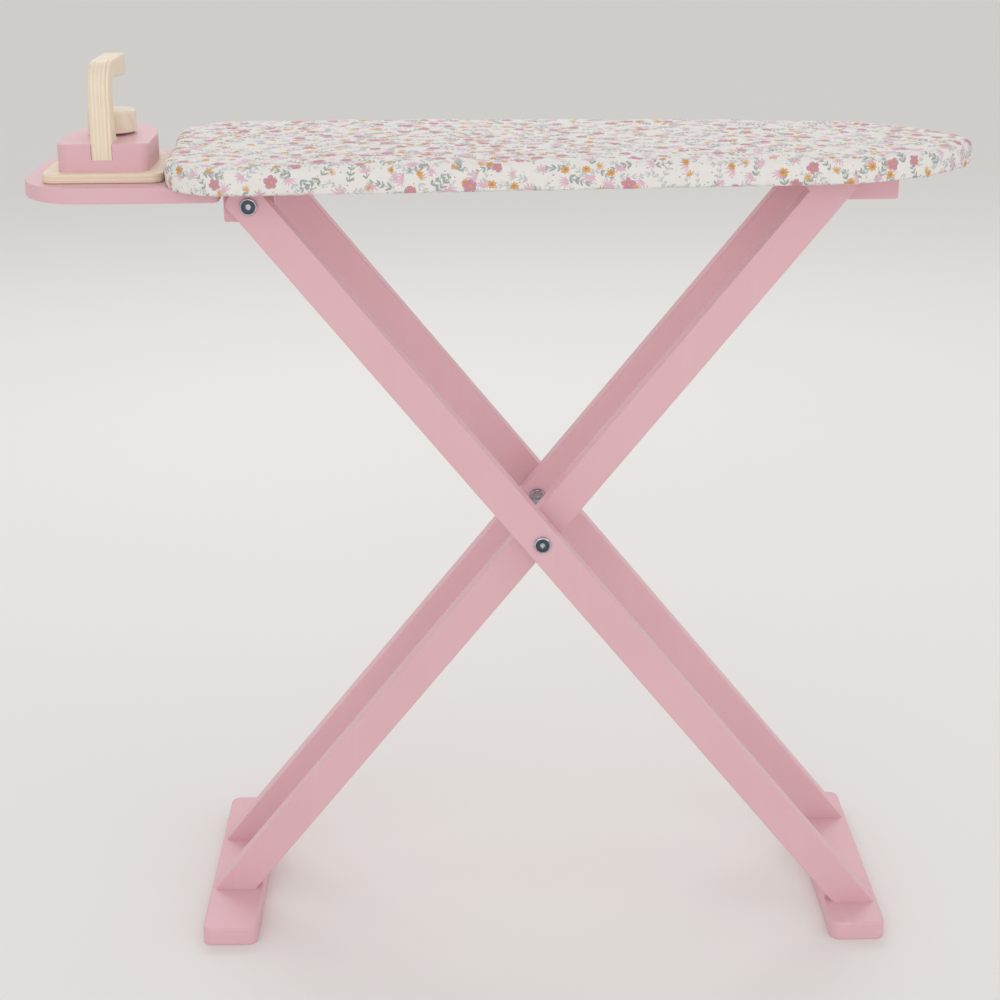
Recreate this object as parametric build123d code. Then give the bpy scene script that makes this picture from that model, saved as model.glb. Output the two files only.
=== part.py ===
from build123d import *
import math
import os

# Toy ironing board with a wooden play iron. Millimetres. +X points to the board's nose, +Z up,
# and the user stands at -Y. The origin is on the floor, under the middle of the whole object.

# Board
panel_length = 611.0
panel_thickness = 12.0
panel_underside = 618.5  # height of the board's underside above the floor
heel_half_width = 112.5
heel_corner_radius = 47.0
side_taper = 2.7  # degrees, each side
shoulder_from_heel = 482.0  # where the straight side turns into the nose
nose_radius = 19.0
panel_edge = 1.0

# Pad and cover
soft_gap = 0.3  # between a soft piece and what carries it
pad_thickness = 5.5
pad_edge_radius = 4.5
fabric_thickness = 1.0
lip_width = 12.0  # hem turned in under the board
elastic_width = 5.0
elastic_thickness = 1.0
plate_clearance = 1.0  # between the hem and the rest plate

# Rest plate under the heel, which carries the iron
plate_overhang = 112.8  # how far it stands out past the board's heel
plate_half_width = 82.3
plate_thickness = 12.0
plate_heel_radius = 50.0
plate_front_radius = 6.0
plate_edge = 1.2
plate_to_bracket = 1.2
plate_screw_rows = (25.0, 65.0)  # distance from the middle line
plate_screw_length = 21.0

# Legs, both frames
leg_width = 27.0
leg_thickness = 16.0
leg_angle = 51.1  # degrees above the floor
leg_edge = 1.2
outer_half_width = 78.0  # outer faces of the outer legs
leg_gap = 13.0  # between an outer and an inner leg
cross_height = 333.0
pivot_from_heel = 60.5
pivot_drop = 15.5  # heel pivot below the board's underside
leg_end_gap = 0.5  # between the rounded leg end and the board
leg_end_radius = 17.0

# Foot bars
foot_length = 220.0
foot_width = 44.0
foot_thickness = 15.0
foot_corner_radius = 8.0
foot_edge = 1.8
foot_inset = 1.7  # the bar's middle stands this much further in than the leg's

# Top rail of the inner frame, and the two hooks that hold it
rail_width = 36.5
rail_thickness = 10.0
rail_underside = 605.0
rail_top_edge = 3.0
rail_bottom_edge = 0.5
hook_thickness = 16.0
hook_side_gap = 0.5  # between a hook and the inner leg beside it
hook_block_length = 33.0
hook_stop_gap = 2.0  # between the rail and the hook's block
hook_seat_gap = 0.3  # between the rail and the hook's arm
hook_arm_depth = 10.0
hook_arm_short = 5.0  # how far the arm stops short of the rail's heel side
hook_ramp_fall = 1.8  # the arm's top falls this much to its tip
hook_corner_radius = 2.5

# Heel brackets, which carry the outer legs
bracket_length = 38.0
bracket_ahead = 17.5  # of the pivot, towards the nose
bracket_height = 30.5
bracket_thickness = 16.0
bracket_corner_radius = 2.0
bracket_screw_back = 13.0
bracket_screw_ahead = 11.0
washer_thickness = 0.8
washer_radius = 9.0

# Pivot bolts and cap nuts
bolt_radius = 3.0
bolt_head_radius = 6.75
bolt_head_height = 2.6
bolt_head_edge = 1.2
socket_across = 4.0
socket_depth = 1.7
nut_sleeve_radius = 4.2
nut_sleeve_length = 13.0
bolt_end_gap = 1.5  # between the bolt's end and the cap nut's head
turn_fit = 0.08  # radial, where a leg turns on its bolt
fixed_fit = 0.05  # radial, where two pieces stay together
face_gap = 0.2  # between faces that slide past each other
spacer_radius = 8.0

# Wood screws
screw_radius = 2.0
screw_head_radius = 4.0
screw_head_height = 2.4
screw_head_sink = 0.4
screw_tip_length = 4.0
screw_tip_radius = 0.4
cross_slot_length = 4.2
cross_slot_width = 0.9
cross_slot_depth = 1.2
leg_screw_bite = 16.0  # how far a screw enters a leg's end
leg_screw_lean = 7.0  # the pair sits this far to the side that the leg leans to
leg_screw_spacing = 10.0
bracket_screw_bite = 14.0
hook_screw_bite = 20.0  # through a hook's block and into its arm
hook_screw_inset = 8.0

# Play iron. It stands across the rest plate, with its nose to the far side.
iron_from_plate_end = 62.9
sole_half_width = 45.5
sole_heel = 64.0  # behind the board's middle line
sole_shoulder = 18.0
sole_nose = 72.0  # ahead of the middle line
sole_nose_radius = 12.0
sole_thickness = 7.0
sole_corner_radius = 9.5
sole_edge = 1.0
rest_gap = 0.2
body_half_width = 34.4
body_heel = 55.5
body_shoulder = 8.0
body_nose = 60.0
body_nose_radius = 10.0
body_height = 21.0
body_corner_radius = 9.0
body_edge = 1.5
sole_screw_length = 18.0
sole_screw_shares = ((0.62, -0.72), (0.34, 0.45))  # of the body's half width, and of its heel

# Handle, a hooked plate let into the iron's heel
handle_thickness = 16.0
handle_slot_depth = 12.0
handle_foot_length = 30.5
handle_height = 60.0  # above the iron's body
handle_lean = 3.5  # the back edge leans forward by this much at the top
handle_arm_reach = 79.5
handle_arm_root_depth = 13.3
handle_arm_end_depth = 17.5
handle_arm_droop = 1.5  # the arm's end sits this much lower
handle_post_top_depth = 17.0  # post at the arm
handle_post_mid_depth = 14.0  # post at the grip, before rounding
handle_post_low_depth = 21.0  # post just above the body
handle_grip_height = 27.0
handle_back_radius = 22.0
handle_end_radius = 5.0
handle_lower_end_radius = 3.5
handle_inner_radius = 6.5
handle_grip_radius = 60.0
handle_foot_radius = 8.0
handle_edge = 1.6
handle_screw_length = 18.0
handle_screw_back = 7.5
handle_screw_ahead = 22.5
counterbore_radius = 4.6
counterbore_depth = 3.0

# Knob that turns on top of the iron
knob_radius = 18.5
knob_height = 16.5
knob_ahead = 52.5  # of the iron body's heel
knob_top_edge = 2.2
knob_bottom_edge = 1.0
knob_washer_thickness = 1.4
knob_washer_radius = 7.0
knob_screw_bite = 12.0

overrun = 5.0  # extra length of a cutting tool


def rounded_face(corners):
    # Closed outline of straight sides. Each corner is (u, v, radius), and radius 0 is sharp.
    edges = []
    joints = []
    for i, (u, v, radius) in enumerate(corners):
        here = Vector(u, v)
        back = (Vector(*corners[i - 1][:2]) - here).normalized()
        ahead = (Vector(*corners[(i + 1) % len(corners)][:2]) - here).normalized()
        if radius == 0:
            joints.append((here, here))
            continue
        half_turn = math.radians(back.get_angle(ahead)) / 2
        reach = radius / math.tan(half_turn)
        middle = here + (back + ahead).normalized() * (radius / math.sin(half_turn) - radius)
        start = here + back * reach
        end = here + ahead * reach
        edges.append(ThreePointArc(start, middle, end))
        joints.append((start, end))
    for i, (start, end) in enumerate(joints):
        edges.append(Line(end, joints[(i + 1) % len(joints)][0]))
    return Face(Wire(edges))


def prism(face, low, high):
    return extrude(Pos(0, 0, low) * face, amount=high - low, dir=(0, 0, 1))


def slab_y(face, low, high):
    # A face drawn in X and Z, thickened along Y
    return extrude(Pos(0, low, 0) * (Plane.XZ * face), amount=high - low, dir=(0, 1, 0))


def slab_x(face, low, high):
    # A face drawn in Y and Z, thickened along X
    return extrude(Pos(low, 0, 0) * (Plane.YZ * face), amount=high - low, dir=(1, 0, 0))


def block(low, high):
    size = Vector(*high) - Vector(*low)
    return Pos(*low) * Box(size.X, size.Y, size.Z, align=(Align.MIN, Align.MIN, Align.MIN))


def rod(radius, length):
    # Stands on its lower end
    return Cylinder(radius, length, align=(Align.CENTER, Align.CENTER, Align.MIN))


def taper(low_radius, high_radius, length):
    return Cone(low_radius, high_radius, length, align=(Align.CENTER, Align.CENTER, Align.MIN))


def tip_tangent(shoulder, tip_centre, tip_radius, normal):
    # Radius of the arc that leaves a side at its shoulder and runs into the tip's arc
    reach = Vector(*shoulder) - Vector(*tip_centre)
    return (reach.dot(reach) - tip_radius**2) / (2 * (reach.dot(normal) - tip_radius))


def upper_edges(arcs_and_lines):
    lower = [mirror(edge, about=Plane.XZ).edge() for edge in arcs_and_lines]
    return Face(Wire(arcs_and_lines + lower))


# Places worked out from the sizes above
cover_grow = soft_gap + fabric_thickness
overall_length = plate_overhang + panel_length + cover_grow
plate_end_x = -overall_length / 2
heel_x = plate_end_x + plate_overhang
nose_x = heel_x + panel_length
pivot_x = heel_x + pivot_from_heel
pivot_z = panel_underside - pivot_drop
lean = math.radians(leg_angle)
cross_x = pivot_x + (pivot_z - cross_height) / math.tan(lean)
panel_top = panel_underside + panel_thickness
outer_inner_face = outer_half_width - leg_thickness
inner_half_width = outer_inner_face - leg_gap
inner_inner_face = inner_half_width - leg_thickness
foot_reach = (cross_height - foot_thickness) / math.tan(lean)
rail_x = cross_x + (rail_underside - cross_height) / math.tan(lean)
rail_top = rail_underside + rail_thickness
bracket_front_x = pivot_x + bracket_ahead
bracket_back_x = bracket_front_x - bracket_length
bracket_outer = outer_inner_face - washer_thickness - face_gap
bracket_inner = bracket_outer - bracket_thickness
plate_front_x = bracket_back_x - plate_to_bracket
plate_underside = panel_underside - plate_thickness
hook_outer = inner_inner_face - hook_side_gap
hook_inner = hook_outer - hook_thickness
iron_x = plate_end_x + iron_from_plate_end
sole_underside = panel_underside + rest_gap
sole_top = sole_underside + sole_thickness
body_top = sole_top + body_height
slot_bottom = body_top - handle_slot_depth
knob_y = -body_heel + knob_ahead
knob_underside = body_top + knob_washer_thickness + 2 * face_gap


def side_name(side):
    return "left" if side > 0 else "right"


# Fasteners, each drawn along +Z with its head at the bottom

def wood_screw(length):
    screw = taper(screw_head_radius, screw_radius, screw_head_height)
    screw += rod(screw_radius, length - screw_tip_length)
    screw += Pos(0, 0, length - screw_tip_length) * taper(screw_radius, screw_tip_radius, screw_tip_length)
    slot = Box(cross_slot_length, cross_slot_width, 2 * cross_slot_depth)
    return screw - slot - Rot(0, 0, 90) * slot


def screw_hole(length):
    # Straight down to the head's seat, countersunk, then a snug bore a little past the tip
    hole = taper(screw_head_radius + fixed_fit, screw_radius + fixed_fit, screw_head_height)
    hole += rod(screw_radius + fixed_fit, length + fixed_fit)
    return hole + Pos(0, 0, -overrun) * rod(screw_head_radius + fixed_fit, overrun)


def button_head():
    head = rod(bolt_head_radius, bolt_head_height)
    head = fillet(head.edges().sort_by(Axis.Z)[0], bolt_head_edge)
    socket = RegularPolygon(socket_across / 2, 6, major_radius=False)
    return Pos(0, 0, -bolt_head_height) * (head - extrude(socket, amount=socket_depth))


def pivot_bolt(length):
    return button_head() + rod(bolt_radius, length)


def cap_nut():
    sleeve = rod(nut_sleeve_radius, nut_sleeve_length) - rod(bolt_radius + fixed_fit, nut_sleeve_length)
    return button_head() + sleeve


def across(x, y, z, side):
    # Turns a piece drawn along +Z to point inwards from a face on the left (1) or right (-1) side
    return Pos(x, side * y, z) * Rot(90 * side, 0, 0)


def upwards(x, y, z):
    return Pos(x, y, z)


def downwards(x, y, z):
    return Pos(x, y, z) * Rot(180, 0, 0)


# Board, pad and cover

def board_face(grow):
    # Plan outline: square-set heel with round corners, straight tapering sides and a rounded nose
    turn = math.radians(side_taper)
    normal = Vector(math.sin(turn), math.cos(turn))
    heel_centre = Vector(heel_x + heel_corner_radius, heel_half_width - heel_corner_radius)
    side_start = heel_centre + normal * heel_corner_radius
    run = (heel_x + shoulder_from_heel - side_start.X) / math.cos(turn)
    shoulder = side_start + Vector(math.cos(turn), -math.sin(turn)) * run
    tip_centre = Vector(nose_x - nose_radius, 0)
    side_radius = tip_tangent(shoulder, tip_centre, nose_radius, normal)
    side_centre = shoulder - normal * side_radius
    tip_angle = math.degrees(math.atan2(tip_centre.Y - side_centre.Y, tip_centre.X - side_centre.X))
    side_angle = 90 - side_taper
    return upper_edges([
        Line((heel_x - grow, 0), (heel_x - grow, heel_centre.Y)),
        CenterArc(heel_centre, heel_corner_radius + grow, 180, side_angle - 180),
        Line(side_start + normal * grow, shoulder + normal * grow),
        CenterArc(side_centre, side_radius + grow, side_angle, tip_angle - side_angle),
        CenterArc(tip_centre, nose_radius + grow, tip_angle, -tip_angle),
    ])


plate_screw_x = (heel_x + plate_front_x) / 2
plate_screw_places = [(plate_screw_x, side * row) for row in plate_screw_rows for side in (1, -1)]
bracket_y = (bracket_outer + bracket_inner) / 2
bracket_screw_xs = (pivot_x - bracket_screw_back, pivot_x + bracket_screw_ahead)
bracket_screw_places = [(x, side * bracket_y) for x in bracket_screw_xs for side in (1, -1)]
hook_stop_x = rail_x + rail_width / 2 + hook_stop_gap
hook_front_x = hook_stop_x + hook_block_length
hook_seat = rail_underside - hook_seat_gap
hook_y = (hook_outer + hook_inner) / 2
hook_screw_xs = (hook_stop_x + hook_screw_inset, hook_front_x - hook_screw_inset)
hook_screw_places = [(x, side * hook_y) for x in hook_screw_xs for side in (1, -1)]
bracket_screw_length = panel_thickness - screw_head_sink + bracket_screw_bite
hook_screw_length = panel_thickness - screw_head_sink + hook_screw_bite
panel_screw_z = panel_top - screw_head_sink


def board_panel():
    panel = prism(board_face(0), panel_underside, panel_top)
    rims = panel.edges().group_by(Axis.Z)
    panel = chamfer(rims[0] + rims[-1], panel_edge)
    for x, y in bracket_screw_places:
        panel -= downwards(x, y, panel_screw_z) * screw_hole(bracket_screw_length)
    for x, y in hook_screw_places:
        panel -= downwards(x, y, panel_screw_z) * screw_hole(hook_screw_length)
    for x, y in plate_screw_places:
        panel -= upwards(x, y, plate_underside + screw_head_sink) * screw_hole(plate_screw_length)
    return panel


pad_underside = panel_top + soft_gap
pad_top = pad_underside + pad_thickness
cover_top = pad_top + soft_gap + fabric_thickness
lip_top = panel_underside - soft_gap
lip_underside = lip_top - fabric_thickness


def foam_pad():
    pad = prism(board_face(0), pad_underside, pad_top)
    return fillet(pad.edges().group_by(Axis.Z)[-1], pad_edge_radius)


def plate_pass():
    # Room for the rest plate where the hem goes round it
    half = plate_half_width + plate_clearance
    low = (heel_x - overrun, -half, lip_underside - overrun)
    return block(low, (plate_front_x + plate_clearance, half, panel_underside + soft_gap))


def fabric_cover():
    cover = prism(board_face(cover_grow), lip_underside, cover_top)
    cover = fillet(cover.edges().group_by(Axis.Z)[-1], pad_edge_radius + cover_grow)
    inside = prism(board_face(soft_gap), lip_top, pad_top + soft_gap)
    cover -= fillet(inside.edges().group_by(Axis.Z)[-1], pad_edge_radius + soft_gap)
    cover -= prism(board_face(-lip_width), lip_underside - overrun, lip_top + soft_gap)
    return cover - plate_pass()


def hem_elastic():
    top = lip_underside - soft_gap
    ring = prism(board_face(elastic_width - lip_width), top - elastic_thickness, top)
    ring -= prism(board_face(-lip_width), top - elastic_thickness - overrun, top + overrun)
    return ring - plate_pass()


def iron_rest_plate():
    back = plate_end_x
    front = plate_front_x
    half = plate_half_width
    outline = rounded_face([
        (back, -half, plate_heel_radius), (front, -half, plate_front_radius),
        (front, half, plate_front_radius), (back, half, plate_heel_radius),
    ])
    plate = prism(outline, plate_underside, panel_underside)
    rims = plate.edges().group_by(Axis.Z)
    plate = fillet(rims[0] + rims[-1], plate_edge)
    for x, y in plate_screw_places:
        plate -= upwards(x, y, plate_underside + screw_head_sink) * screw_hole(plate_screw_length)
    return plate


def heel_bracket(side):
    bottom = panel_underside - bracket_height
    outline = rounded_face([
        (bracket_back_x, bottom, bracket_corner_radius), (bracket_front_x, bottom, bracket_corner_radius),
        (bracket_front_x, panel_underside, 0), (bracket_back_x, panel_underside, 0),
    ])
    low, high = sorted((side * bracket_inner, side * bracket_outer))
    bracket = slab_y(outline, low, high)
    for x in bracket_screw_xs:
        bracket -= downwards(x, side * bracket_y, panel_screw_z) * screw_hole(bracket_screw_length)
    bore = rod(bolt_radius + fixed_fit, bracket_thickness + overrun)
    bracket -= across(pivot_x, bracket_outer + overrun / 2, pivot_z, side) * bore
    sleeve = rod(nut_sleeve_radius + fixed_fit, nut_sleeve_length + fixed_fit + overrun)
    return bracket - across(pivot_x, bracket_inner - overrun, pivot_z, side) * Rot(180, 0, 0) * sleeve


def catch_hook(side, outline):
    hook = slab_y(outline, *sorted((side * hook_inner, side * hook_outer)))
    for x in hook_screw_xs:
        hook -= downwards(x, side * hook_y, panel_screw_z) * screw_hole(hook_screw_length)
    return hook


def catch_block(side):
    # The upright of the L, glued and screwed between the board and the arm
    return catch_hook(side, rounded_face([
        (hook_stop_x, hook_seat, 0), (hook_front_x, hook_seat, 0),
        (hook_front_x, panel_underside, 0), (hook_stop_x, panel_underside, 0),
    ]))


def catch_arm(side):
    # The foot of the L. It reaches back under the rail, and its top falls towards its tip.
    bottom = hook_seat - hook_arm_depth
    tip_x = rail_x - rail_width / 2 + hook_arm_short
    return catch_hook(side, rounded_face([
        (tip_x, bottom, hook_corner_radius), (hook_front_x, bottom, hook_corner_radius),
        (hook_front_x, hook_seat, 0), (hook_stop_x, hook_seat, 0),
        (tip_x, hook_seat - hook_ramp_fall, hook_corner_radius),
    ]))


# Pivots. The bolts' heads are outside, and the cap nuts' heads inside.
heel_bolt_length = outer_half_width + face_gap - bracket_inner - bolt_end_gap
cross_bolt_length = outer_half_width - inner_inner_face + face_gap - bolt_end_gap


def heel_pivot(side):
    bolt = across(pivot_x, outer_half_width + face_gap, pivot_z, side) * pivot_bolt(heel_bolt_length)
    nut = across(pivot_x, bracket_inner, pivot_z, side) * Rot(180, 0, 0) * cap_nut()
    washer = rod(washer_radius, washer_thickness) - rod(bolt_radius + fixed_fit, washer_thickness)
    washer = across(pivot_x, bracket_outer + washer_thickness, pivot_z, side) * washer
    return bolt, nut, washer


def cross_pivot(side):
    bolt = across(cross_x, outer_half_width, cross_height, side) * pivot_bolt(cross_bolt_length)
    nut_y = inner_inner_face - face_gap
    nut = across(cross_x, nut_y, cross_height, side) * Rot(180, 0, 0) * cap_nut()
    length = leg_gap - face_gap
    spacer = rod(spacer_radius, length) - rod(bolt_radius + fixed_fit, length)
    spacer = across(cross_x, outer_inner_face, cross_height, side) * spacer
    return bolt, nut, spacer


# Outer frame: two legs on the heel pivots, and the foot bar at the nose end

def along_leg(x, z, down, out, sign):
    # A point beside a leg's middle line. sign is 1 for a leg that runs down to the nose end.
    return (x + sign * (down * math.cos(lean) + out * math.sin(lean)),
            z - down * math.sin(lean) + out * math.cos(lean))


def leg_cut(x, z, out, height, sign):
    # The point where a leg's edge meets a level, for horizontal cuts
    down = (z + out * math.cos(lean) - height) / math.sin(lean)
    return along_leg(x, z, down, out, sign)


def screw_xs(middle, sign):
    # A pair of screws at a leg's end, kept inside the leaning leg
    return [middle - sign * (leg_screw_lean + step * leg_screw_spacing / 2) for step in (-1, 1)]


outer_leg_end_x = cross_x + foot_reach
inner_leg_end_x = cross_x - foot_reach
outer_foot_x = outer_leg_end_x - foot_inset
inner_foot_x = inner_leg_end_x + foot_inset
outer_leg_y = outer_half_width - leg_thickness / 2
inner_leg_y = inner_half_width - leg_thickness / 2
foot_screw_length = foot_thickness - screw_head_sink + leg_screw_bite
rail_screw_length = rail_thickness - screw_head_sink + leg_screw_bite
rail_screw_z = rail_top - screw_head_sink


def foot_screw_places(leg_end_x, leg_y, sign):
    return [(x, side * leg_y) for x in screw_xs(leg_end_x, sign) for side in (1, -1)]


def soften(piece):
    # Takes the sharpness off a leg's long edges
    long_edges = [edge for edge in piece.edges().filter_by(GeomType.LINE)
                  if edge.length > panel_length / 2]
    return fillet(long_edges, leg_edge)


def outer_leg(side):
    half = leg_width / 2
    end_z = pivot_z + pivot_drop - leg_end_gap - leg_end_radius
    end_out = (end_z - pivot_z) * math.cos(lean)
    end_down = -(end_z - pivot_z) * math.sin(lean)
    upper_down = end_down - math.sqrt(leg_end_radius**2 - (half - end_out)**2)
    lower_down = end_down - math.sqrt(leg_end_radius**2 - (half + end_out)**2)
    upper = along_leg(pivot_x, pivot_z, upper_down, half, 1)
    lower = along_leg(pivot_x, pivot_z, lower_down, -half, 1)
    foot_far = leg_cut(pivot_x, pivot_z, half, foot_thickness, 1)
    foot_near = leg_cut(pivot_x, pivot_z, -half, foot_thickness, 1)
    top = (pivot_x, end_z + leg_end_radius)
    edges = [Line(foot_near, foot_far), Line(foot_far, upper), ThreePointArc(upper, top, lower)]
    outline = Face(Wire(edges + [Line(lower, foot_near)]))
    low, high = sorted((side * outer_half_width, side * outer_inner_face))
    leg = soften(slab_y(outline, low, high))
    bore = rod(bolt_radius + turn_fit, leg_thickness + overrun)
    leg -= across(pivot_x, outer_half_width + overrun / 2, pivot_z, side) * bore
    bore = rod(bolt_radius + fixed_fit, leg_thickness + overrun)
    leg -= across(cross_x, outer_half_width + overrun / 2, cross_height, side) * bore
    for x, y in foot_screw_places(outer_leg_end_x, outer_leg_y, 1):
        leg -= upwards(x, y, screw_head_sink) * screw_hole(foot_screw_length)
    return leg


def foot_bar(foot_x, screw_places):
    outline = RectangleRounded(foot_width, foot_length, foot_corner_radius)
    bar = Pos(foot_x, 0, 0) * prism(outline, 0, foot_thickness)
    bar = fillet(bar.edges().group_by(Axis.Z)[-1], foot_edge)
    bar = fillet(bar.edges().group_by(Axis.Z)[0], foot_edge / 2)
    for x, y in screw_places:
        bar -= upwards(x, y, screw_head_sink) * screw_hole(foot_screw_length)
    return bar


def screws_at(places, place, z, length):
    return [place(x, y, z) * wood_screw(length) for x, y in places]


# Inner frame: two legs through the crossing, the foot bar at the heel end and the top rail

def inner_leg(side):
    half = leg_width / 2
    corners = [leg_cut(cross_x, cross_height, out, height, -1)
               for out, height in ((-half, foot_thickness), (half, foot_thickness),
                                   (half, rail_underside), (-half, rail_underside))]
    outline = Face(Wire([Line(corners[i - 1], corner) for i, corner in enumerate(corners)]))
    low, high = sorted((side * inner_half_width, side * inner_inner_face))
    leg = soften(slab_y(outline, low, high))
    bore = rod(nut_sleeve_radius + turn_fit, leg_thickness + overrun)
    leg -= across(cross_x, inner_half_width + overrun / 2, cross_height, side) * bore
    for x, y in foot_screw_places(inner_leg_end_x, inner_leg_y, -1):
        leg -= upwards(x, y, screw_head_sink) * screw_hole(foot_screw_length)
    for x, y in rail_screw_places:
        leg -= downwards(x, y, rail_screw_z) * screw_hole(rail_screw_length)
    return leg


rail_screw_places = [(x, side * inner_leg_y) for x in screw_xs(rail_x, 1) for side in (1, -1)]


def top_rail():
    half = rail_width / 2
    outline = rounded_face([
        (rail_x - half, rail_underside, rail_bottom_edge), (rail_x + half, rail_underside, rail_bottom_edge),
        (rail_x + half, rail_top, rail_top_edge), (rail_x - half, rail_top, rail_top_edge),
    ])
    rail = slab_y(outline, -inner_half_width, inner_half_width)
    for x, y in rail_screw_places:
        rail -= downwards(x, y, rail_screw_z) * screw_hole(rail_screw_length)
    return rail


# Play iron

def iron_face(half_width, heel, shoulder, nose, nose_radius_here, corner_radius):
    # Plan outline: straight heel with round corners, then two arcs to a rounded nose
    tip_y = nose - nose_radius_here
    side_radius = tip_tangent((half_width, -shoulder), (0, tip_y), nose_radius_here, Vector(1, 0))
    side_x = half_width - side_radius
    tip_angle = math.degrees(math.atan2(tip_y + shoulder, -side_x))
    corner_centre = (half_width - corner_radius, corner_radius - heel)
    right = [
        Line((0, -heel), (corner_centre[0], -heel)),
        CenterArc(corner_centre, corner_radius, -90, 90),
        Line((half_width, corner_centre[1]), (half_width, -shoulder)),
        CenterArc((side_x, -shoulder), side_radius, 0, tip_angle),
        CenterArc((0, tip_y), nose_radius_here, tip_angle, 90 - tip_angle),
    ]
    left = [mirror(edge, about=Plane.YZ).edge() for edge in right]
    return Pos(iron_x, 0, 0) * Face(Wire(right + left))


sole_screw_places = [
    (iron_x + side * x_share * body_half_width, y_share * body_heel)
    for x_share, y_share in sole_screw_shares for side in (1, -1)
]
handle_screw_places = [(iron_x, -body_heel + step) for step in (handle_screw_back, handle_screw_ahead)]
handle_screw_z = sole_top + counterbore_depth


def iron_sole():
    outline = iron_face(sole_half_width, sole_heel, sole_shoulder, sole_nose, sole_nose_radius,
                        sole_corner_radius)
    sole = prism(outline, sole_underside, sole_top)
    rims = sole.edges().group_by(Axis.Z)
    sole = fillet(rims[0] + rims[-1], sole_edge)
    for x, y in sole_screw_places:
        sole -= upwards(x, y, sole_underside + screw_head_sink) * screw_hole(sole_screw_length)
    return sole


def iron_body():
    outline = iron_face(body_half_width, body_heel, body_shoulder, body_nose, body_nose_radius,
                        body_corner_radius)
    body = prism(outline, sole_top, body_top)
    body = fillet(body.edges().group_by(Axis.Z)[-1], body_edge)
    half = handle_thickness / 2 + fixed_fit
    low = (iron_x - half, -body_heel - overrun, slot_bottom)
    high = (iron_x + half, -body_heel + handle_foot_length + fixed_fit, body_top + overrun)
    body -= block(low, high)
    for x, y in sole_screw_places:
        body -= upwards(x, y, sole_underside + screw_head_sink) * screw_hole(sole_screw_length)
    for x, y in handle_screw_places:
        body -= upwards(x, y, sole_top - overrun) * rod(counterbore_radius, overrun + counterbore_depth)
        body -= upwards(x, y, handle_screw_z) * screw_hole(handle_screw_length)
    body -= upwards(iron_x, knob_y, sole_top - overrun) * rod(counterbore_radius, overrun + counterbore_depth)
    return body - upwards(iron_x, knob_y, sole_top) * rod(screw_radius + turn_fit, body_height + overrun)


def iron_handle():
    back = -body_heel
    top = body_top + handle_height
    arm_end = back + handle_arm_reach
    arm_end_top = top - handle_arm_droop
    post_back = back + handle_lean
    outline = rounded_face([
        (back, slot_bottom, 0),
        (back, body_top, handle_grip_radius),
        (post_back, top, handle_back_radius),
        (arm_end, arm_end_top, handle_end_radius),
        (arm_end, arm_end_top - handle_arm_end_depth, handle_lower_end_radius),
        (post_back + handle_post_top_depth, top - handle_arm_root_depth, handle_inner_radius),
        (post_back + handle_post_mid_depth, body_top + handle_grip_height, handle_grip_radius),
        (back + handle_post_low_depth, body_top, handle_foot_radius),
        (back + handle_foot_length, body_top, 0),
        (back + handle_foot_length, slot_bottom, 0),
    ])
    half = handle_thickness / 2
    handle = slab_x(outline, iron_x - half, iron_x + half)
    rims = [edge for edge in handle.edges()
            if abs(abs(edge.center().X - iron_x) - half) < fixed_fit
            and edge.center().Z > body_top + handle_edge]
    handle = fillet(rims, handle_edge)
    for x, y in handle_screw_places:
        handle -= upwards(x, y, handle_screw_z) * screw_hole(handle_screw_length)
    return handle


def iron_knob():
    knob = rod(knob_radius, knob_height)
    knob = fillet(knob.edges().group_by(Axis.Z)[-1], knob_top_edge)
    knob = fillet(knob.edges().group_by(Axis.Z)[0], knob_bottom_edge)
    knob = Pos(iron_x, knob_y, knob_underside) * knob
    bore = rod(screw_radius + fixed_fit, knob_screw_bite + fixed_fit)
    return knob - upwards(iron_x, knob_y, knob_underside) * bore


def knob_screw():
    seat = sole_top + counterbore_depth - screw_head_height - face_gap
    length = knob_underside + knob_screw_bite - seat
    screw = rod(screw_head_radius, screw_head_height) + rod(screw_radius, length)
    slot = Box(cross_slot_length, cross_slot_width, 2 * cross_slot_depth)
    return Pos(iron_x, knob_y, seat) * (screw - slot - Rot(0, 0, 90) * slot)


def knob_washer():
    washer = rod(knob_washer_radius, knob_washer_thickness)
    washer -= rod(screw_radius + fixed_fit, knob_washer_thickness)
    return Pos(iron_x, knob_y, body_top + face_gap) * washer


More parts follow.
